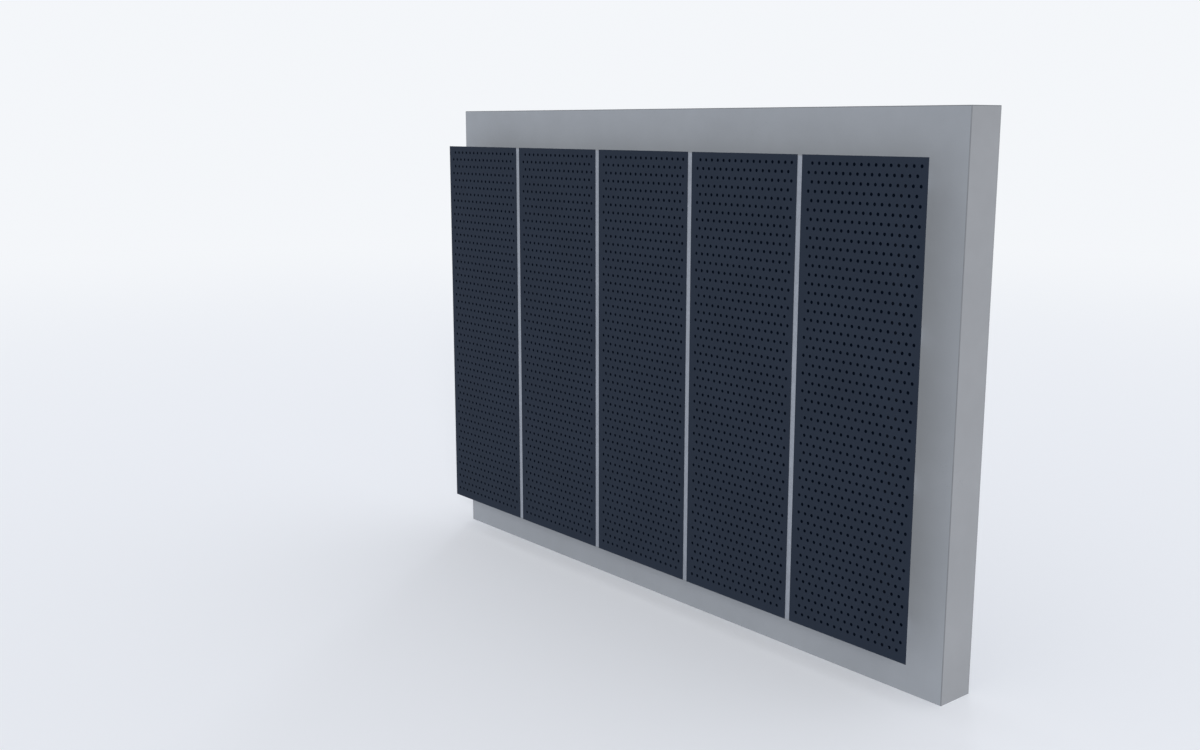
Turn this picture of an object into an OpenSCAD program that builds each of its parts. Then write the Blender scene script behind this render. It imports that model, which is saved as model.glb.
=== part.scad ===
// Perforated screen on a free-standing wall: five perforated sheets with a black liner,
// hung side by side on vertical T rails, which pressed angle brackets hold off the wall.
// Millimetres, +Z up, +X along the wall, +Y from the screen into the wall.
// The origin is the middle of the wall's underside.

/* [Wall] */
// Thickness of the wall
wall_thickness = 400; // [150:5:600]
// Wall beyond the screen at each end
end_margin = 142; // [20:1:1000]
// Wall above the screen
top_margin = 400; // [20:1:1000]
// Chamfer on the wall's upright and top edges
arris = 4; // [2:1:20]

/* [Screen] */
// Width of each perforated sheet
panel_width = 1300; // [800:1:1600]
// Height of each perforated sheet
panel_height = 4184; // [1500:1:6000]
// Thickness of the sheet
sheet = 3; // [2:0.5:6]
// Open joint between two sheets
joint = 54; // [10:1:80]
// Bottom edge of the sheets above the wall's underside
panel_bottom = 416; // [50:1:1000]
// From the wall's face to the sheets' outer face
stand_off = 325; // [180:1:600]

/* [Perforation] */
// Diameter of the round holes
hole_d = 30; // [6:0.5:50]
// Distance between holes along a row
column_pitch = 74.8; // [40:0.1:150]
// Distance between rows; every second row is shifted by half the column pitch
row_pitch = 78.7; // [40:0.1:150]
// From a sheet's left edge to the first hole of an unshifted row
first_column = 77.5; // [55:0.1:150]
// From a sheet's bottom edge to the first row
first_row = 99.5; // [55:0.1:150]
// Least distance from the last holes to the sheet's other two edges
last_hole = 60; // [55:1:150]

/* [Liner] */
// Thickness of the black sound-absorbing board on a sheet's back
liner_depth = 20; // [5:1:40]
// From a sheet's edges to its liner
liner_edge = 30; // [10:1:40]
// Gap between a liner and the flange of a rail
liner_gap = 3; // [1:0.5:10]

/* [Rails] */
// How far a sheet laps over the flange of the rail at its joint
flange_lap = 33; // [26:1:40]
// Depth of a rail from the sheets' back to the web's free edge
rail_depth = 60; // [50:1:120]
// Thickness of a rail's flange and web
rail_wall = 3; // [2:0.5:8]
// Root radius between flange and web
rail_root = 4; // [1:0.5:8]
// Rail ends inside the sheets' top and bottom edges
rail_inset = 10; // [0:1:60]
// End rails inside the outer edges of the screen
end_rail_inset = 250; // [100:5:450]

/* [Brackets] */
// Height of a bracket
bracket_height = 150; // [80:5:250]
// Width of the foot on the wall
bracket_foot = 80; // [60:1:150]
// Thickness of the bracket's plate
bracket_plate = 5; // [3:0.5:10]
// Inner radius of the pressed bend
bracket_bend = 6; // [2:0.5:15]
// Radius of the plate's free corners
bracket_corner = 12; // [2:1:30]
// Gap between the bracket's leg and the root of the rail's flange
leg_gap = 9; // [2:0.5:16]
// First and last bracket from the sheets' ends
bracket_end = 200; // [120:5:800]
// Brackets on each rail
bracket_levels = 4; // [2:1:8]
// Level of the bracket that fixes the rail; at the others the rail can slide
fixed_level = 4; // [1:1:8]

/* [Fixings] */
// Rivet shank
rivet_d = 5; // [3:0.1:8]
// From a sheet's edge at a joint to its line of rivets
rivet_edge = 16; // [10:0.5:20]
// Rows of holes from one rivet to the next
rivet_rows = 5; // [1:1:12]
// Screw through a bracket's leg and a rail's web
screw_d = 5.5; // [4:0.1:8]
// Length of the slots that let a rail slide
screw_slot = 22; // [10:1:40]
// Anchor bolt in the wall
anchor_d = 10; // [6:1:20]
// Depth of the anchor's hole in the wall
anchor_depth = 90; // [40:5:150]
// Length of the slots for the anchors
anchor_slot = 26; // [14:1:40]
// Diameter that a hole has over its rivet, screw or anchor
fixing_play = 0.6; // [0.2:0.1:2]

/* [Hidden] */
$fn = 48;
panels = 5;
screen_width = panels * panel_width + (panels - 1) * joint;
wall_length = screen_width + 2 * end_margin;
wall_height = panel_bottom + panel_height + top_margin;
wall_face = -wall_thickness / 2;
sheet_face = wall_face - stand_off;
sheet_back = sheet_face + sheet;
rail_flange = joint + 2 * flange_lap;
rail_back = sheet_back + rail_depth;
leg_end = sheet_back + rail_wall + rail_root + leg_gap;
columns = 1 + floor((panel_width - first_column - column_pitch / 2 - last_hole) / column_pitch);
rows = 1 + floor((panel_height - first_row - last_hole) / row_pitch);
rivets = 1 + floor((rows - 2) / rivet_rows);
rivet_side = joint / 2 + rivet_edge;
anchor_x = (bracket_foot + bracket_plate + bracket_bend) / 2;
screw_y = (leg_end + rail_back) / 2;
hole_z = bracket_height / 4;

function panel_left(i) = -screen_width / 2 + i * (panel_width + joint);
// Rail 0 and the last one are the end rails; the others stand behind the joints.
function rail_x(i) =
    i == 0 ? -screen_width / 2 + end_rail_inset
    : i == panels ? screen_width / 2 - end_rail_inset
    : panel_left(i) - joint / 2;
// The last rail's brackets are turned the other way, so that they stay on the wall.
function hand(i) = i == panels ? -1 : 1;
function bracket_z(k) =
    panel_bottom + bracket_end
    + k * (panel_height - 2 * bracket_end) / (bracket_levels - 1);
// Rivets stand midway between two rows of holes.
function rivet_z(m) =
    panel_bottom + first_row + (m * rivet_rows + 0.5) * row_pitch;

// A hole or slot through flat plate, drawn flat: long > d makes a slot along X.
module slot_outline(d, long) {
    if (long > d) {
        square([long - d, d], center = true);
        for (s = [-1, 1]) translate([s * (long - d) / 2, 0]) circle(d = d);
    } else {
        circle(d = d);
    }
}

// A rectangle from the origin whose two far corners, at full width, are rounded.
module tongue(width, height, radius) {
    translate([0, -height / 2]) square([width - radius, height]);
    translate([0, -height / 2 + radius]) square([width, height - 2 * radius]);
    for (s = [-1, 1])
        translate([width - radius, s * (height / 2 - radius)]) circle(r = radius);
}

// The wall's section across any two of its directions, with chamfered corners.
module chamfered(width, height, cut_low) {
    low = cut_low ? arris : 0;
    polygon([[-width / 2 + low, 0], [width / 2 - low, 0], [width / 2, low],
             [width / 2, height - arris], [width / 2 - arris, height],
             [-width / 2 + arris, height], [-width / 2, height - arris],
             [-width / 2, low]]);
}

module wall() {
    color("silver")
        difference() {
            intersection() {
                translate([0, wall_face, 0])
                    linear_extrude(wall_height) chamfered(wall_length, wall_thickness, true);
                translate([0, -wall_face, 0]) rotate([90, 0, 0])
                    linear_extrude(wall_thickness) chamfered(wall_length, wall_height, false);
                translate([-wall_length / 2, 0, 0]) rotate([90, 0, 90])
                    linear_extrude(wall_length) chamfered(wall_thickness, wall_height, false);
            }
            for (i = [0:panels]) for (k = [0:bracket_levels - 1]) for (s = [-1, 1])
                translate([rail_x(i) + hand(i) * (rail_wall / 2 + anchor_x),
                           wall_face, bracket_z(k) + s * hole_z])
                    rotate([-90, 0, 0])
                        translate([0, 0, -1]) cylinder(d = anchor_d, h = anchor_depth + 1);
        }
}

// A sheet's outline with its staggered holes, and the rivet holes of the rails behind it.
module perforated_blank(i) {
    difference() {
        square([panel_width, panel_height]);
        for (r = [0:rows - 1]) for (c = [0:columns - 1])
            translate([first_column + (c + (r % 2) / 2) * column_pitch,
                       first_row + r * row_pitch])
                circle(d = hole_d);
        for (n = [i, i + 1]) for (s = [-1, 1]) {
            x = rail_x(n) + s * rivet_side - panel_left(i);
            if (x > 0 && x < panel_width)
                for (m = [0:rivets - 1])
                    translate([x, rivet_z(m) - panel_bottom])
                        circle(d = rivet_d + fixing_play);
        }
    }
}

module panel(i) {
    color("darkslategray")
        translate([panel_left(i), sheet_back, panel_bottom])
            rotate([90, 0, 0])
                linear_extrude(sheet) perforated_blank(i);
}

// The board behind a sheet's holes, cut away round the flanges that the sheet lies on.
module liner(i) {
    side = rail_flange / 2 + liner_gap;
    color("black")
        difference() {
            translate([panel_left(i) + liner_edge, sheet_back, panel_bottom + liner_edge])
                cube([panel_width - 2 * liner_edge, liner_depth,
                      panel_height - 2 * liner_edge]);
            for (n = [i, i + 1])
                translate([rail_x(n) - side, sheet_back - 1, panel_bottom])
                    cube([2 * side, liner_depth + 2, panel_height]);
        }
}

// T section with its flange's outer face on X, and the web along +Y.
module rail_section() {
    translate([-rail_flange / 2, 0]) square([rail_flange, rail_wall]);
    translate([-rail_wall / 2, 0]) square([rail_wall, rail_depth]);
    for (s = [-1, 1])
        translate([s * rail_wall / 2, rail_wall]) scale([s, 1])
            difference() {
                square(rail_root);
                translate([rail_root, rail_root]) circle(r = rail_root);
            }
}

module rail(i) {
    color(i == 0 || i == panels ? "black" : "gray")
        translate([rail_x(i), sheet_back, 0])
            difference() {
                translate([0, 0, panel_bottom + rail_inset])
                    linear_extrude(panel_height - 2 * rail_inset) rail_section();
                for (m = [0:rivets - 1]) for (s = [-1, 1])
                    translate([s * rivet_side, rail_wall / 2, rivet_z(m)])
                        rotate([90, 0, 0])
                            cylinder(d = rivet_d, h = 3 * rail_wall, center = true);
                for (k = [0:bracket_levels - 1]) for (s = [-1, 1])
                    translate([0, screw_y - sheet_back, bracket_z(k) + s * hole_z])
                        rotate([0, 90, 0])
                            cylinder(d = screw_d, h = 3 * rail_wall, center = true);
            }
}

// L section of the pressed plate: the leg on the Y axis, the foot along +X on the wall.
module bracket_section() {
    outer = bracket_bend + bracket_plate;
    translate([0, leg_end]) square([bracket_plate, wall_face - outer - leg_end]);
    translate([outer, wall_face - bracket_plate])
        square([bracket_foot - outer, bracket_plate]);
    translate([outer, wall_face - outer])
        intersection() {
            difference() {
                circle(r = outer);
                circle(r = bracket_bend);
            }
            translate([-outer, 0]) square(outer);
        }
}

// The foot lies on the wall and the leg runs out beside the rail's web.
module bracket(i, k) {
    slide = k + 1 == fixed_level ? 0 : screw_slot;
    color("lightgray")
        translate([rail_x(i) + hand(i) * rail_wall / 2, 0, bracket_z(k)])
            mirror([hand(i) < 0 ? 1 : 0, 0, 0])
                difference() {
                    intersection() {
                        translate([0, 0, -bracket_height / 2])
                            linear_extrude(bracket_height) bracket_section();
                        translate([0, wall_face, 0]) rotate([90, 0, -90])
                            translate([0, 0, -bracket_foot])
                                linear_extrude(bracket_foot)
                                    tongue(wall_face - leg_end, bracket_height,
                                           bracket_corner);
                        translate([0, wall_face, 0]) rotate([90, 0, 0])
                            linear_extrude(wall_face - leg_end)
                                tongue(bracket_foot, bracket_height, bracket_corner);
                    }
                    for (s = [-1, 1]) {
                        translate([-1, screw_y, s * hole_z]) rotate([0, 90, 0])
                            linear_extrude(bracket_plate + 2)
                                slot_outline(screw_d + fixing_play, slide);
                        translate([anchor_x, wall_face + 1, s * hole_z])
                            rotate([90, 0, 0])
                                linear_extrude(bracket_plate + 2)
                                    slot_outline(anchor_d + fixing_play, anchor_slot);
                    }
                }
}

wall();
for (i = [1:panels]) panel(i - 1);
for (i = [1:panels]) liner(i - 1);
for (i = [0:panels]) rail(i);
for (i = [0:panels]) for (k = [1:bracket_levels])
    bracket(i, k - 1);
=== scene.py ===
"""Finishes, fixings and studio for a perforated screen on a free-standing wall.

The frame holds the wall, the sheets with their liners, the rails and the brackets. This
add-on gives each of them its finish, adds the rivets, screws and anchors that hold them
together, and sets up a plain studio round them.
"""

import math
import random

import bmesh
import bpy
from bpy.props import FloatProperty, FloatVectorProperty, IntProperty, PointerProperty
from mathutils import Matrix, Vector


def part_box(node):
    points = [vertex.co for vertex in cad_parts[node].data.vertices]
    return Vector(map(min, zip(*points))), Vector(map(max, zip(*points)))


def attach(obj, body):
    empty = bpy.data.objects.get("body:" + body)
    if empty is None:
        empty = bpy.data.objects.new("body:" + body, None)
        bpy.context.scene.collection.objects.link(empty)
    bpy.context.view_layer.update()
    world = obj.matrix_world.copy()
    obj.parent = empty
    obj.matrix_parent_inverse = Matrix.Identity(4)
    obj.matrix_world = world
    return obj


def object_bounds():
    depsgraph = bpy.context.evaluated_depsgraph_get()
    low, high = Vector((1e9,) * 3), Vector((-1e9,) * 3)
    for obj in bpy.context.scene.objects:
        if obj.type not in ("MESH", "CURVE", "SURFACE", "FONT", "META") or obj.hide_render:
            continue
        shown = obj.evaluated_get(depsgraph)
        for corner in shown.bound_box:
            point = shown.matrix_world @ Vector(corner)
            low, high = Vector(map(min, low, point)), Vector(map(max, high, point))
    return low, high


bl_info = {
    "name": "Perforated Screen",
    "version": (1, 0, 0),
    "blender": (4, 5, 0),
    "location": "View3D > Sidebar > Screen",
    "description": "Finishes, fixings and studio for a perforated screen on a wall",
    "category": "Object",
}

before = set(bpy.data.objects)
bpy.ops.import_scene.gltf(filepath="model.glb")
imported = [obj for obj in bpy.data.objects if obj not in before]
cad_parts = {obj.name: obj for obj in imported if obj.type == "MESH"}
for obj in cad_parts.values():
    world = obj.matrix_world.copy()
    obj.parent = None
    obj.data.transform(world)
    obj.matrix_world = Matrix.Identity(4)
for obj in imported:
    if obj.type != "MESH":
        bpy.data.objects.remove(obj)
CAD_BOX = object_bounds()
BODY = "root"


def named(prefix):
    """The frame's nodes whose names start that way, in order."""
    return sorted(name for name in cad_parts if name.startswith(prefix))


PANELS = named("panel_")
LINERS = named("liner_")
RAILS = named("rail_")
BRACKETS = named("bracket_")
END_RAILS = [RAILS[0], RAILS[-1]]
JOINT_RAILS = RAILS[1:-1]

MILLIMETRE = 0.001
# Points nearer to each other than this become one.
WELD = 0.01 * MILLIMETRE
# Edges that turn by more than this stay sharp.
SHARP_TURN = math.radians(32)
# How deep a thread is cut, as a share of its pitch.
THREAD_DEPTH = 0.55
# Where the draws start for how each screw's head and each anchor's nut is turned.
SCREW_SEED = 11
ANCHOR_SEED = 23


# Settings


def length(name, description, metres):
    """A size that shows in the scene's length unit."""
    return FloatProperty(
        name=name, description=description, default=metres, min=0.0, unit="LENGTH", precision=4
    )


def colour(name, description, rgb):
    """A colour, in linear red, green and blue."""
    return FloatVectorProperty(
        name=name, description=description, default=rgb, min=0.0, max=1.0, subtype="COLOR"
    )


class RivetSizes(bpy.types.PropertyGroup):
    """Blind rivets that hold the sheets on the rails."""

    shank: length("Shank", "Diameter of a rivet's shank", 0.005)
    head: length("Head", "Diameter of a rivet's head", 0.014)
    dome: length("Dome", "Height of a rivet's head", 0.002)
    grip: length("Grip", "Sheet and flange that a rivet holds together", 0.006)
    tail: length("Tail", "Diameter of the end that is set behind the flange", 0.0088)
    edge: length("Edge distance", "From a sheet's edge at a joint to the rivets", 0.016)
    first_row: length("First hole row", "From a sheet's bottom to its first hole row", 0.0995)
    row_pitch: length("Row pitch", "Distance between hole rows", 0.0787)
    rows: IntProperty(name="Rows", description="Hole rows between rivets", default=5, min=1)


class ScrewSizes(bpy.types.PropertyGroup):
    """Drilling screws through a bracket's leg and a rail's web."""

    shank: length("Shank", "Diameter of a screw", 0.0055)
    flats: length("Head", "Width across the flats of the head", 0.008)
    washer: length("Washer", "Diameter of the washer, which covers the slot's width", 0.016)
    edge: length("Edge distance", "From the leg's free edge to the screws", 0.022)
    plate: length("Plate", "Thickness of a bracket's plate", 0.005)
    web: length("Web", "Thickness of a rail's web", 0.003)
    tip: length("Tip", "Threaded end beyond the web", 0.013)
    pitch: length("Thread pitch", "Distance between a screw's threads", 0.0018)


class AnchorSizes(bpy.types.PropertyGroup):
    """Anchor bolts through a bracket's foot into the wall."""

    stud: length("Stud", "Diameter of an anchor's stud", 0.010)
    flats: length("Nut", "Width across the flats of the nut", 0.017)
    nut: length("Nut height", "Height of the nut", 0.008)
    washer: length("Washer", "Diameter of the washer, which covers the slot", 0.030)
    thickness: length("Washer thickness", "Thickness of the washer", 0.0025)
    free_end: length("Free end", "Stud beyond the nut", 0.011)
    bend: length("Bend", "Inner radius of a bracket's bend", 0.006)
    pitch: length("Thread pitch", "Distance between the stud's threads", 0.0015)


class FinishSettings(bpy.types.PropertyGroup):
    """Colours of the finishes, and the sizes of what shows in them."""

    concrete: colour("Concrete", "Fair-faced concrete of the wall", (0.198, 0.215, 0.243))
    # ends: a warmer tone for the wall's two ends, which is painted warm light, not a different
    # concrete
    ends: colour("Ends", "Fair-faced concrete of the wall's two ends", (0.193, 0.2025, 0.221))
    coat: colour("Coat", "Powder coat of the sheets and their rivets", (0.0137, 0.0190, 0.0306))
    # fleece: a near-zero black, partly real black fleece and partly painted shade behind the holes
    fleece: colour("Fleece", "Fleece of the liner boards", (0.0008, 0.0022, 0.0055))
    galvanised: colour("Galvanised", "Zinc skin of the rails and brackets", (0.304, 0.331, 0.382))
    # black: a near-zero black, partly real black coat and partly painted shade behind the holes
    black: colour("Black", "Black coat of the end rails", (0.0008, 0.0020, 0.0050))
    bright_zinc: colour("Bright zinc", "Plating of the fixings", (0.50, 0.51, 0.53))
    # The arris line is painted shade along the wall's arrises.
    arris: length("Arris", "Width of the darker line along the wall's arrises", 0.0045)
    rail_spangle: length("Rail spangle", "Size of the zinc crystals on the rails", 0.011)
    bracket_spangle: length("Bracket spangle", "Size of the zinc crystals on the brackets", 0.008)


class StudioSettings(bpy.types.PropertyGroup):
    """Floor, light and camera."""

    floor_radius: length("Floor", "Radius of the floor", 90.0)
    fade_start: length("Fade start", "Where the floor starts to turn into the sky", 5.0)
    fade_end: length("Fade end", "Where the floor has turned into the sky", 42.0)
    floor: colour("Floor", "Colour of the floor", (0.862, 0.884, 0.936))
    sky: colour("Sky", "Colour of the sky behind the object", (0.905, 0.925, 0.955))
    ambient: FloatProperty(
        name="Ambient", description="Light from all round, as a share of the sky's", default=0.68
    )
    key: colour("Key colour", "Colour of the key light", (1.0, 0.98, 0.94))
    key_strength: FloatProperty(
        name="Key strength", description="Strength of the key light", default=3.8, min=0.0
    )
    key_softness: FloatProperty(
        name="Key softness", description="Angle across the key light",
        default=math.radians(24), subtype="ANGLE",
    )
    key_from: FloatVectorProperty(
        name="Key direction", description="Direction that the key light comes from",
        default=(0.73, -0.65, 0.25), subtype="DIRECTION",
    )
    fill: colour("Fill colour", "Colour of the fill light", (0.94, 0.97, 1.0))
    fill_strength: FloatProperty(
        name="Fill strength", description="Strength of the fill light", default=1.7, min=0.0
    )
    fill_softness: FloatProperty(
        name="Fill softness", description="Angle across the fill light",
        default=math.radians(10), subtype="ANGLE",
    )
    fill_from: FloatVectorProperty(
        name="Fill direction", description="Direction that the fill light comes from",
        default=(-0.6, 0.8, 0.05), subtype="DIRECTION",
    )
    camera_place: FloatVectorProperty(
        name="Camera place", description="Where the camera stands",
        default=(9.634, -9.071, 4.854), subtype="TRANSLATION", unit="LENGTH",
    )
    camera_turn: FloatVectorProperty(
        name="Camera turn", description="Tilt from straight down, roll and heading",
        default=(math.radians(79.151), 0.0, math.radians(50.216)), subtype="EULER",
    )
    lens: FloatProperty(
        name="Lens", description="Focal length", default=39.31, min=1.0, unit="CAMERA"
    )
    sensor: FloatProperty(
        name="Sensor", description="Width of the sensor", default=36.0, min=1.0, unit="CAMERA"
    )


# Finishes


def shade(rgb, share=1.0):
    """That share of a colour, with the fourth channel that a socket wants."""
    return [channel * share for channel in rgb] + [1.0]


class Signal:
    """An output socket of a finish, which takes part in arithmetic."""

    def __init__(self, finish, socket):
        self.finish = finish
        self.socket = socket

    def _math(self, operation, first, second):
        return self.finish.node(
            "ShaderNodeMath", {"operation": operation}, {0: first, 1: second}
        )

    def __add__(self, other):
        return self._math("ADD", self, other)

    def __radd__(self, other):
        return self._math("ADD", other, self)

    def __sub__(self, other):
        return self._math("SUBTRACT", self, other)

    def __rsub__(self, other):
        return self._math("SUBTRACT", other, self)

    def __mul__(self, other):
        return self._math("MULTIPLY", self, other)

    def __rmul__(self, other):
        return self._math("MULTIPLY", other, self)


class Finish:
    """A material that is put together from procedural patterns, in metres."""

    def __init__(self, name):
        self.material = bpy.data.materials.new(name)
        self.material.use_nodes = True
        self.tree = self.material.node_tree
        self.tree.nodes.clear()
        self.place = self.node("ShaderNodeTexCoord", output="Object")

    def node(self, kind, settings=None, inputs=None, output=0):
        """Adds a node, sets it up, feeds its sockets and gives one of its outputs, if any."""
        node = self.tree.nodes.new(kind)
        for setting, value in (settings or {}).items():
            setattr(node, setting, value)
        for key, value in (inputs or {}).items():
            if isinstance(value, Signal):
                self.tree.links.new(value.socket, node.inputs[key])
            else:
                node.inputs[key].default_value = value
        return Signal(self, node.outputs[output]) if node.outputs else None

    def noise(self, size, detail=2.0, stretch=(1.0, 1.0, 1.0), offset=(0.0, 0.0, 0.0)):
        """Cloudy noise from 0 to 1, whose patches are about that size."""
        place = self.node(
            "ShaderNodeMapping", {}, {"Vector": self.place, "Location": offset, "Scale": stretch}
        )
        return self.node(
            "ShaderNodeTexNoise",
            {},
            {"Vector": place, "Scale": 1.0 / size, "Detail": detail, "Roughness": 0.55},
        )

    def cells(self, size, output):
        """Cells of about that size: their distance from the middle, or a colour for each."""
        return self.node(
            "ShaderNodeTexVoronoi", {}, {"Vector": self.place, "Scale": 1.0 / size}, output
        )

    def grey(self, colours):
        """One channel of a colour, as a number from 0 to 1."""
        return self.node("ShaderNodeSeparateColor", {}, {"Color": colours})

    def least(self, *values):
        """The least of these numbers."""
        lowest = values[0]
        for value in values[1:]:
            lowest = self.node("ShaderNodeMath", {"operation": "MINIMUM"}, {0: lowest, 1: value})
        return lowest

    def unsigned(self, value):
        """A number without its sign."""
        return self.node("ShaderNodeMath", {"operation": "ABSOLUTE"}, {0: value})

    def depths(self, box):
        """How deep a point is under a box's end, face and top, along X, Y and Z."""
        low, high = box
        middle = (low + high) / 2
        reach = (high - low) / 2
        away = self.node(
            "ShaderNodeVectorMath", {"operation": "SUBTRACT"}, {0: self.place, 1: middle}
        )
        along, through, up = [
            self.node("ShaderNodeSeparateXYZ", {}, {"Vector": away}, output=axis) for axis in "XYZ"
        ]
        return reach.x - self.unsigned(along), reach.y - self.unsigned(through), reach.z - up

    def step(self, value, start, end):
        """Rises smoothly from 0 to 1 while the value goes from start to end."""
        return self.node(
            "ShaderNodeMapRange",
            {"interpolation_type": "SMOOTHSTEP"},
            {"Value": value, "From Min": start, "From Max": end},
        )

    def blend(self, share, first, second):
        """The first colour where share is 0, and the second where it is 1."""
        return self.node(
            "ShaderNodeMix",
            {"data_type": "RGBA"},
            {"Factor": share, "A": first, "B": second},
            output="Result",
        )

    def spread(self, share, rgb, amount):
        """A colour that is darker by amount where share is 0, and lighter where it is 1."""
        return self.blend(share, shade(rgb, 1.0 - amount), shade(rgb, 1.0 + amount))

    def bump(self, height, depth, strength):
        """A normal from a height of 0 to 1 that stands for that depth, at that strength."""
        return self.node(
            "ShaderNodeBump", {}, {"Height": height, "Distance": depth, "Strength": strength}
        )

    def done(self, sockets):
        """Feeds the surface shader and gives the finished material."""
        surface = self.node("ShaderNodeBsdfPrincipled", {}, sockets)
        self.node("ShaderNodeOutputMaterial", {}, {"Surface": surface})
        return self.material


def concrete(rgb, painted_end_light_rgb, box, arris):
    """Fair-faced concrete: soft clouds, fine sand, small air pores painted darker as shade, and a
    line of painted shade along the arrises.

    The two ends of the box have a warmer tone of their own, which is painted warm light on them.
    """
    contrast = 0.085
    # How dark the painted shade along the arrises is, as a share of the concrete's colour.
    arris_shade = 0.45
    # How dark the painted shade in the air pores is, as a share of the concrete's colour.
    pore_shade = 0.7
    finish = Finish("fair_faced_concrete")
    clouds = finish.noise(size=1.1, detail=3.0)
    patches = finish.noise(size=0.16, detail=3.0)
    sand = finish.noise(size=0.004)
    tone = 0.5 + 1.1 * (clouds - 0.5) + 0.5 * (patches - 0.5) + 0.55 * (sand - 0.5)
    end, side, top = finish.depths(box)
    # The random concrete tone, with a warmer tone on the two ends that is painted warm light.
    tone_and_painted_end_light = finish.blend(
        finish.step(end, 0.2 * arris, 0.4 * arris),
        finish.spread(tone, painted_end_light_rgb, contrast),
        finish.spread(tone, rgb, contrast),
    )
    edge = finish.least(end + side, end + top, side + top)
    # Painted shade: a darker line along the arrises that damps the light the chamfers catch,
    # varied a little by the patches.
    painted_edge_shade = (0.8 + 0.4 * (patches - 0.5)) * (1 - finish.step(edge, arris, 2 * arris))
    face = finish.blend(painted_edge_shade, tone_and_painted_end_light, shade(rgb, arris_shade))
    pore_room = finish.step(finish.noise(size=0.35), start=0.5, end=0.8)
    pore_depth = 0.2 * pore_room - finish.cells(size=0.019, output="Distance")
    pores = finish.step(pore_depth, start=0.0, end=0.06)
    relief = 0.25 * sand + 0.35 * patches - pores
    return finish.done(
        {
            # The air pores are painted darker: painted shade in them.
            "Base Color": finish.blend(pores, face, shade(rgb, pore_shade)),
            "Roughness": 0.82 + 0.14 * (patches - 0.5),
            "Specular IOR Level": 0.28,
            "Normal": finish.bump(relief, depth=1.6 * MILLIMETRE, strength=0.6),
        }
    )


def powder_coat(name, rgb, roughness, gloss):
    """Powder coat: an even colour with a fine orange peel, which gloss makes less matt."""
    finish = Finish(name)
    wash = finish.noise(size=0.55)
    speckle = finish.noise(size=0.0022, detail=1.0)
    peel = finish.noise(size=0.0032, detail=1.0)
    tone = 0.5 + 0.9 * (wash - 0.5) + 0.8 * (speckle - 0.5)
    return finish.done(
        {
            "Base Color": finish.spread(tone, rgb, amount=0.12),
            "Roughness": roughness + 0.12 * (wash - 0.5),
            "Specular IOR Level": gloss,
            "Normal": finish.bump(peel, depth=0.12 * MILLIMETRE, strength=0.5),
        }
    )


def fleece_and_painted_hole_shade(rgb):
    """Black fleece on a board: short fibres that lie both ways, in a colour near zero with no
    reflection, darker than real fleece: painted shade behind the holes.
    """
    finish = Finish("fleece_and_painted_hole_shade")
    fibre = 0.0035
    across = finish.noise(fibre, stretch=(0.25, 1.0, 1.6))
    upright = finish.noise(fibre, stretch=(1.6, 1.0, 0.25), offset=(3.0, 0.0, 1.0))
    fibres = 0.5 * across + 0.5 * upright
    lit = finish.step(fibres, start=0.35, end=0.65)
    # A colour near zero and no reflection at all: painted shade behind the holes.
    return finish.done(
        {
            "Base Color": finish.spread(lit, rgb, amount=0.5),
            "Roughness": 1.0,
            "Specular IOR Level": 0.0,
            "Normal": finish.bump(fibres, depth=0.6 * MILLIMETRE, strength=0.6),
        }
    )


def zinc(name, rgb, spangle, roughness):
    """Zinc: crystals of about the spangle's size, under a thin cloudy skin."""
    finish = Finish(name)
    crystals = finish.grey(finish.cells(size=spangle, output="Color"))
    fine = finish.noise(size=0.3 * spangle)
    skin = finish.noise(size=0.12, detail=3.0)
    tone = 0.5 + 0.55 * (crystals - 0.5) + 0.5 * (fine - 0.5) + 0.8 * (skin - 0.5)
    relief = 0.5 * fine + 0.5 * crystals
    return finish.done(
        {
            "Base Color": finish.spread(tone, rgb, amount=0.14),
            "Metallic": 0.85,
            "Roughness": roughness + 0.16 * (crystals - 0.5) + 0.2 * (skin - 0.5),
            "Normal": finish.bump(relief, depth=0.08 * MILLIMETRE, strength=0.4),
        }
    )


def cover(names, material):
    """Puts a finish in the material slot of each of these CAD nodes."""
    for name in names:
        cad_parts[name].material_slots[0].material = material


# Fixings


def turned(profile, segments):
    """A closed solid of revolution about Z, from points (radius, height) from axis to axis."""
    bm = bmesh.new()
    verts = [bm.verts.new((radius, 0.0, height)) for radius, height in profile]
    edges = [bm.edges.new(pair) for pair in zip(verts, verts[1:])]
    bmesh.ops.spin(
        bm,
        geom=verts + edges,
        cent=(0.0, 0.0, 0.0),
        axis=(0.0, 0.0, 1.0),
        angle=math.tau,
        steps=segments,
        use_merge=True,
    )
    bmesh.ops.remove_doubles(bm, verts=bm.verts, dist=WELD)
    bmesh.ops.recalc_face_normals(bm, faces=bm.faces)
    return bm


def disc(diameter, thickness, base, segments):
    """A washer's outside, with a small chamfer on its free rim."""
    radius = diameter / 2
    chamfer = 0.25 * thickness
    top = base + thickness
    profile = [
        (0.0, base), (radius, base), (radius, top - chamfer), (radius - chamfer, top), (0.0, top)
    ]
    return turned(profile, segments)


def hexagon(flats, height, base):
    """A hexagonal head or nut that stands on base, with its free corners bevelled."""
    bm = bmesh.new()
    corner = flats / math.sqrt(3)
    bevel = 0.07 * flats
    middle = base + height / 2
    bmesh.ops.create_cone(
        bm,
        cap_ends=True,
        segments=6,
        radius1=corner,
        radius2=corner,
        depth=height,
        matrix=Matrix.Translation((0.0, 0.0, middle)),
    )
    rim = [edge for edge in bm.edges if all(vert.co.z > middle for vert in edge.verts)]
    bmesh.ops.bevel(
        bm,
        geom=rim,
        offset=bevel,
        offset_type="OFFSET",
        segments=2,
        profile=0.5,
        affect="EDGES",
        material=-1,
    )
    return bm


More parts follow.
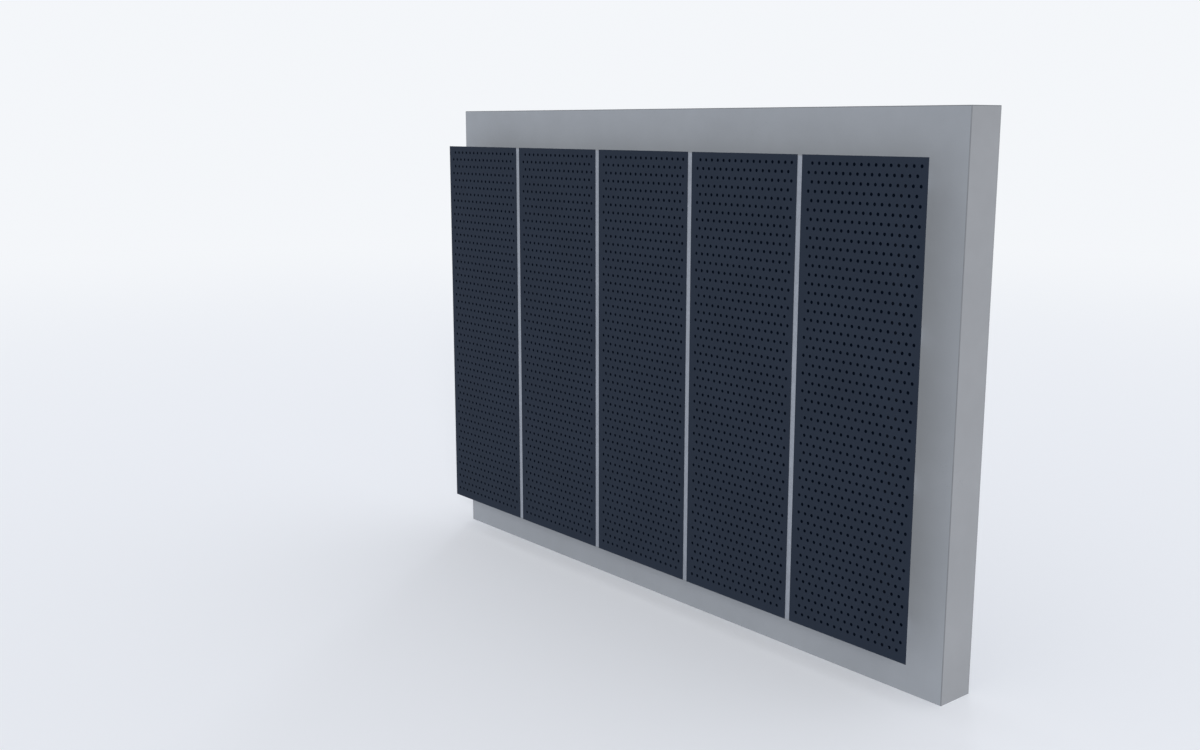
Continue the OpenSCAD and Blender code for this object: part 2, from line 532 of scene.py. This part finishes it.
def thread(diameter, start, end, pitch):
    """Profile points of a thread's rings, from one height to another."""
    turns = round(abs(end - start) / pitch)
    rise = (end - start) / turns
    crest = diameter / 2
    root = crest - THREAD_DEPTH * pitch
    points = [(root, start)]
    for turn in range(turns):
        points += [(crest, start + (turn + 0.5) * rise), (root, start + (turn + 1) * rise)]
    return points


def gathered(shells):
    """One bmesh that holds all these shells, which are freed."""
    whole = bmesh.new()
    for shell in shells:
        mesh = bpy.data.meshes.new("shell")
        shell.to_mesh(mesh)
        shell.free()
        whole.from_mesh(mesh)
        bpy.data.meshes.remove(mesh)
    return whole


def repeat(bm, places):
    """Puts a copy of what bm holds at each place, and takes the first away."""
    seed = bm.verts[:] + bm.edges[:] + bm.faces[:]
    first = bm.verts[:]
    for place in places:
        copy = bmesh.ops.duplicate(bm, geom=seed)["geom"]
        verts = [part for part in copy if isinstance(part, bmesh.types.BMVert)]
        bmesh.ops.transform(bm, matrix=place, verts=verts)
    bmesh.ops.delete(bm, geom=first, context="VERTS")


def fixings(name, shells, places, material):
    """Makes one piece of a fixing's shells at all its places."""
    bm = gathered(shells)
    repeat(bm, places)
    mesh = bpy.data.meshes.new(name)
    bm.to_mesh(mesh)
    bm.free()
    mesh.shade_smooth()
    mesh.set_sharp_from_angle(angle=SHARP_TURN)
    mesh.materials.append(material)
    piece = bpy.data.objects.new(name, mesh)
    bpy.context.scene.collection.objects.link(piece)
    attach(piece, BODY)


def middle_x(node):
    """The middle of a node along the wall."""
    low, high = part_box(node)
    return (low.x + high.x) / 2


def rivet_shell(sizes):
    """A blind rivet: domed head with the mandrel's hole, shank, and the end set behind."""
    head = sizes.head / 2
    dome = sizes.dome
    shank = sizes.shank / 2
    tail = sizes.tail / 2
    grip = sizes.grip
    profile = [
        (0.0, 0.45 * dome),
        (0.2 * head, 0.45 * dome),
        (0.27 * head, dome),
        (0.72 * head, 0.8 * dome),
        (head, 0.2 * dome),
        (head, 0.0),
        (shank, 0.0),
        (shank, -grip),
        (tail, -grip),
        (tail, -grip - tail),
        (0.0, -grip - 1.35 * tail),
    ]
    return turned(profile, segments=12)


def rivet_places(panel, sizes):
    """Where a sheet's rivets are: midway between hole rows, over each flange behind it."""
    low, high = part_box(panel)
    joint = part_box(PANELS[1])[0].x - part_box(PANELS[0])[1].x
    reach = joint / 2 + sizes.edge
    lines = [middle_x(rail) + side * reach for rail in RAILS for side in (-1, 1)]
    lowest = low.z + sizes.first_row + sizes.row_pitch / 2
    spacing = sizes.rows * sizes.row_pitch
    count = 1 + int((high.z - sizes.row_pitch - lowest) / spacing)
    outward = Matrix.Rotation(math.pi / 2, 4, "X")
    return [
        Matrix.Translation((x, low.y, lowest + step * spacing)) @ outward
        for x in lines
        if low.x < x < high.x
        for step in range(count)
    ]


def bracket_facts(bracket):
    """A bracket's hand, the face of its leg on the rail, its box and its fixings' heights."""
    low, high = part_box(bracket)
    rail = "rail_" + bracket.split("_")[1]
    hand = 1 if middle_x(bracket) > middle_x(rail) else -1
    leg = low.x if hand > 0 else high.x
    quarter = (high.z - low.z) / 4
    middle = (low.z + high.z) / 2
    return hand, leg, low, high, (middle - quarter, middle + quarter)


def screw_shells(sizes):
    """A drilling screw: washer, flanged hexagonal head, and the end beyond the web."""
    washer = 1.5 * MILLIMETRE
    flange = 1.0 * MILLIMETRE
    flange_width = 1.45 * sizes.flats
    head = 0.55 * sizes.flats
    root = sizes.shank / 2 - THREAD_DEPTH * sizes.pitch
    held = sizes.plate + sizes.web
    end = held + sizes.tip
    threaded = thread(sizes.shank, -held, -end + sizes.shank, sizes.pitch)
    shank = [(0.0, 0.0), (sizes.shank / 2, 0.0), (sizes.shank / 2, -held)]
    point = [(root, -end + 0.7 * sizes.shank), (0.0, -end)]
    return [
        disc(sizes.washer, washer, base=0.0, segments=24),
        disc(flange_width, flange, base=washer, segments=24),
        hexagon(sizes.flats, head, base=washer + flange),
        turned(shank + threaded + point, segments=12),
    ]


def screw_places(sizes, draw):
    """Where the screws' washers lie: on the legs, each head turned its own way."""
    places = []
    for bracket in BRACKETS:
        hand, leg, low, _, heights = bracket_facts(bracket)
        outward = Matrix.Rotation(hand * math.pi / 2, 4, "Y")
        for height in heights:
            place = Matrix.Translation((leg + hand * sizes.plate, low.y + sizes.edge, height))
            places.append(place @ outward @ Matrix.Rotation(draw.uniform(0, math.tau), 4, "Z"))
    return places


def anchor_shells(sizes):
    """An anchor's washer, nut and threaded free end."""
    end = sizes.thickness + sizes.nut + sizes.free_end
    tip = 0.38 * sizes.stud
    threaded = thread(sizes.stud, sizes.thickness, end - sizes.pitch / 2, sizes.pitch)
    return [
        disc(sizes.washer, sizes.thickness, base=0.0, segments=32),
        hexagon(sizes.flats, sizes.nut, base=sizes.thickness),
        turned([(0.0, sizes.thickness)] + threaded + [(tip, end), (0.0, end)], segments=16),
    ]


def anchor_places(sizes, plate, draw):
    """Where the anchors' washers lie: on the feet, each nut turned its own way."""
    places = []
    outward = Matrix.Rotation(math.pi / 2, 4, "X")
    for bracket in BRACKETS:
        hand, leg, low, high, heights = bracket_facts(bracket)
        foot = high.x - low.x
        x = leg + hand * (foot + plate + sizes.bend) / 2
        for height in heights:
            place = Matrix.Translation((x, high.y - plate, height))
            places.append(place @ outward @ Matrix.Rotation(draw.uniform(0, math.tau), 4, "Z"))
    return places


# Studio


def studio_floor(studio):
    """A round pale floor under the object, which turns into the sky far out."""
    bm = bmesh.new()
    bmesh.ops.create_circle(
        bm,
        cap_ends=True,
        segments=96,
        radius=studio.floor_radius,
        matrix=Matrix.Translation((0.0, 0.0, CAD_BOX[0].z)),
    )
    mesh = bpy.data.meshes.new("studio_floor")
    bm.to_mesh(mesh)
    bm.free()
    finish = Finish("studio_floor")
    distance = finish.node(
        "ShaderNodeVectorMath", {"operation": "LENGTH"}, {0: finish.place}, output="Value"
    )
    ground = finish.node("ShaderNodeBsdfDiffuse", {}, {"Color": shade(studio.floor)})
    sky = finish.node("ShaderNodeEmission", {}, {"Color": shade(studio.sky)})
    share = finish.step(distance, studio.fade_start, studio.fade_end)
    mixed = finish.node("ShaderNodeMixShader", {}, {0: share, 1: ground, 2: sky})
    finish.node("ShaderNodeOutputMaterial", {}, {"Surface": mixed})
    mesh.materials.append(finish.material)
    floor = bpy.data.objects.new("studio_floor", mesh)
    bpy.context.scene.collection.objects.link(floor)


def studio_sky(studio):
    """Even light from all round, dimmer than the sky that shows behind the object."""
    world = bpy.data.worlds.new("studio_sky")
    world.use_nodes = True
    tree = world.node_tree
    background = tree.nodes["Background"]
    background.inputs["Color"].default_value = shade(studio.sky)
    seen = tree.nodes.new("ShaderNodeLightPath").outputs["Is Camera Ray"]
    strength = tree.nodes.new("ShaderNodeMapRange")
    strength.inputs["To Min"].default_value = studio.ambient
    tree.links.new(seen, strength.inputs["Value"])
    tree.links.new(strength.outputs["Result"], background.inputs["Strength"])
    bpy.context.scene.world = world


def studio_light(name, rgb, strength, softness, direction):
    """A soft light from far away in that direction."""
    light = bpy.data.lights.new(name, "SUN")
    light.color = rgb
    light.energy = strength
    light.angle = softness
    lamp = bpy.data.objects.new(name, light)
    lamp.rotation_euler = Vector(direction).to_track_quat("Z", "Y").to_euler()
    bpy.context.scene.collection.objects.link(lamp)


def studio_lights(studio):
    """A broad key light from beside the camera, and a low fill light on the far sides."""
    studio_light(
        "key_light", studio.key, studio.key_strength, studio.key_softness, studio.key_from
    )
    studio_light(
        "fill_light", studio.fill, studio.fill_strength, studio.fill_softness, studio.fill_from
    )


def studio_camera(studio):
    """The camera, in front of the screen and to its right, at about the wall's height."""
    lens = bpy.data.cameras.new("camera")
    lens.lens = studio.lens
    lens.sensor_width = studio.sensor
    lens.clip_end = 4 * studio.floor_radius
    camera = bpy.data.objects.new("camera", lens)
    camera.location = studio.camera_place
    camera.rotation_euler = studio.camera_turn
    bpy.context.scene.collection.objects.link(camera)
    bpy.context.scene.camera = camera


# Operators


class FACADE_OT_finish_wall(bpy.types.Operator):
    """Give the wall its fair-faced concrete"""

    bl_idname = "facade.finish_wall"
    bl_label = "Finish the wall"

    def execute(self, context):
        tones = context.scene.screen_finishes
        cover(["wall"], concrete(tones.concrete, tones.ends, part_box("wall"), tones.arris))
        return {"FINISHED"}


class FACADE_OT_finish_sheets(bpy.types.Operator):
    """Give the perforated sheets their powder coat"""

    bl_idname = "facade.finish_sheets"
    bl_label = "Finish the sheets"

    def execute(self, context):
        rgb = context.scene.screen_finishes.coat
        cover(PANELS, powder_coat("sheet_coat", rgb, roughness=0.6, gloss=0.04))
        return {"FINISHED"}


class FACADE_OT_finish_liners(bpy.types.Operator):
    """Give the liner boards their black fleece, darkened past real fleece as painted shade behind
    the holes
    """

    bl_idname = "facade.finish_liners"
    bl_label = "Finish the liners"

    def execute(self, context):
        cover(LINERS, fleece_and_painted_hole_shade(context.scene.screen_finishes.fleece))
        return {"FINISHED"}


class FACADE_OT_finish_rails(bpy.types.Operator):
    """Give the joint rails their zinc and the end rails their black coat, darkened past real coat
    as painted shade behind the holes
    """

    bl_idname = "facade.finish_rails"
    bl_label = "Finish the rails"

    def execute(self, context):
        finishes = context.scene.screen_finishes
        galvanised = zinc(
            "galvanised_rail", finishes.galvanised, finishes.rail_spangle, roughness=0.5
        )
        cover(JOINT_RAILS, galvanised)
        # The end rails' black is darker than real coat: painted shade behind the holes.
        cover(END_RAILS, powder_coat("black_coat_and_painted_shade", finishes.black, roughness=0.7, gloss=0.02))
        return {"FINISHED"}


class FACADE_OT_finish_brackets(bpy.types.Operator):
    """Give the brackets their zinc"""

    bl_idname = "facade.finish_brackets"
    bl_label = "Finish the brackets"

    def execute(self, context):
        finishes = context.scene.screen_finishes
        galvanised = zinc(
            "galvanised_bracket", finishes.galvanised, finishes.bracket_spangle, roughness=0.48
        )
        cover(BRACKETS, galvanised)
        return {"FINISHED"}


class FACADE_OT_add_rivets(bpy.types.Operator):
    """Set the rivets that hold each sheet on its rails"""

    bl_idname = "facade.add_rivets"
    bl_label = "Add the rivets"

    def execute(self, context):
        sizes = context.scene.screen_rivets
        rgb = context.scene.screen_finishes.coat
        material = powder_coat("rivet_coat", rgb, roughness=0.5, gloss=0.08)
        for panel in PANELS:
            name = panel.replace("panel", "rivets")
            places = rivet_places(panel, sizes)
            fixings(name, [rivet_shell(sizes)], places, material)
        return {"FINISHED"}


class FACADE_OT_add_screws(bpy.types.Operator):
    """Drive the screws that hold the rails on their brackets"""

    bl_idname = "facade.add_screws"
    bl_label = "Add the screws"

    def execute(self, context):
        sizes = context.scene.screen_screws
        rgb = context.scene.screen_finishes.bright_zinc
        material = zinc("screw_zinc", rgb, spangle=2 * MILLIMETRE, roughness=0.38)
        places = screw_places(sizes, random.Random(SCREW_SEED))
        fixings("rail_screws", screw_shells(sizes), places, material)
        return {"FINISHED"}


class FACADE_OT_add_anchors(bpy.types.Operator):
    """Set the anchors that hold the brackets on the wall"""

    bl_idname = "facade.add_anchors"
    bl_label = "Add the anchors"

    def execute(self, context):
        sizes = context.scene.screen_anchors
        plate = context.scene.screen_screws.plate
        rgb = context.scene.screen_finishes.bright_zinc
        material = zinc("anchor_zinc", rgb, spangle=3 * MILLIMETRE, roughness=0.42)
        places = anchor_places(sizes, plate, random.Random(ANCHOR_SEED))
        fixings("wall_anchors", anchor_shells(sizes), places, material)
        return {"FINISHED"}


class FACADE_OT_build_studio(bpy.types.Operator):
    """Set up the floor, the light and the camera"""

    bl_idname = "facade.build_studio"
    bl_label = "Build the studio"

    def execute(self, context):
        studio = context.scene.screen_studio
        studio_floor(studio)
        studio_sky(studio)
        studio_lights(studio)
        studio_camera(studio)
        context.scene.view_settings.view_transform = "Standard"
        return {"FINISHED"}


class FACADE_PT_screen(bpy.types.Panel):
    """The screen's settings and pieces"""

    bl_idname = "FACADE_PT_screen"
    bl_label = "Perforated screen"
    bl_space_type = "VIEW_3D"
    bl_region_type = "UI"
    bl_category = "Screen"

    def draw(self, context):
        for attribute, group in SETTINGS.items():
            box = self.layout.box()
            box.label(text=group.__doc__)
            for name in group.__annotations__:
                box.prop(getattr(context.scene, attribute), name)
        for operator in OPERATORS:
            self.layout.operator(operator.bl_idname)


SETTINGS = {
    "screen_rivets": RivetSizes,
    "screen_screws": ScrewSizes,
    "screen_anchors": AnchorSizes,
    "screen_finishes": FinishSettings,
    "screen_studio": StudioSettings,
}
OPERATORS = (
    FACADE_OT_finish_wall,
    FACADE_OT_finish_sheets,
    FACADE_OT_finish_liners,
    FACADE_OT_finish_rails,
    FACADE_OT_finish_brackets,
    FACADE_OT_add_rivets,
    FACADE_OT_add_screws,
    FACADE_OT_add_anchors,
    FACADE_OT_build_studio,
)


def register():
    """Registers the settings, the operators and the panel."""
    for group in (*SETTINGS.values(), *OPERATORS, FACADE_PT_screen):
        bpy.utils.register_class(group)
    for attribute, group in SETTINGS.items():
        setattr(bpy.types.Scene, attribute, PointerProperty(type=group))


def unregister():
    """Takes away what register put in."""
    for attribute in SETTINGS:
        delattr(bpy.types.Scene, attribute)
    for group in reversed((*SETTINGS.values(), *OPERATORS, FACADE_PT_screen)):
        bpy.utils.unregister_class(group)


def main():
    """Makes every piece and the studio."""
    register()
    for operator in OPERATORS:
        group, name = operator.bl_idname.split(".")
        getattr(getattr(bpy.ops, group), name)()


if __name__ == "__main__":
    main()
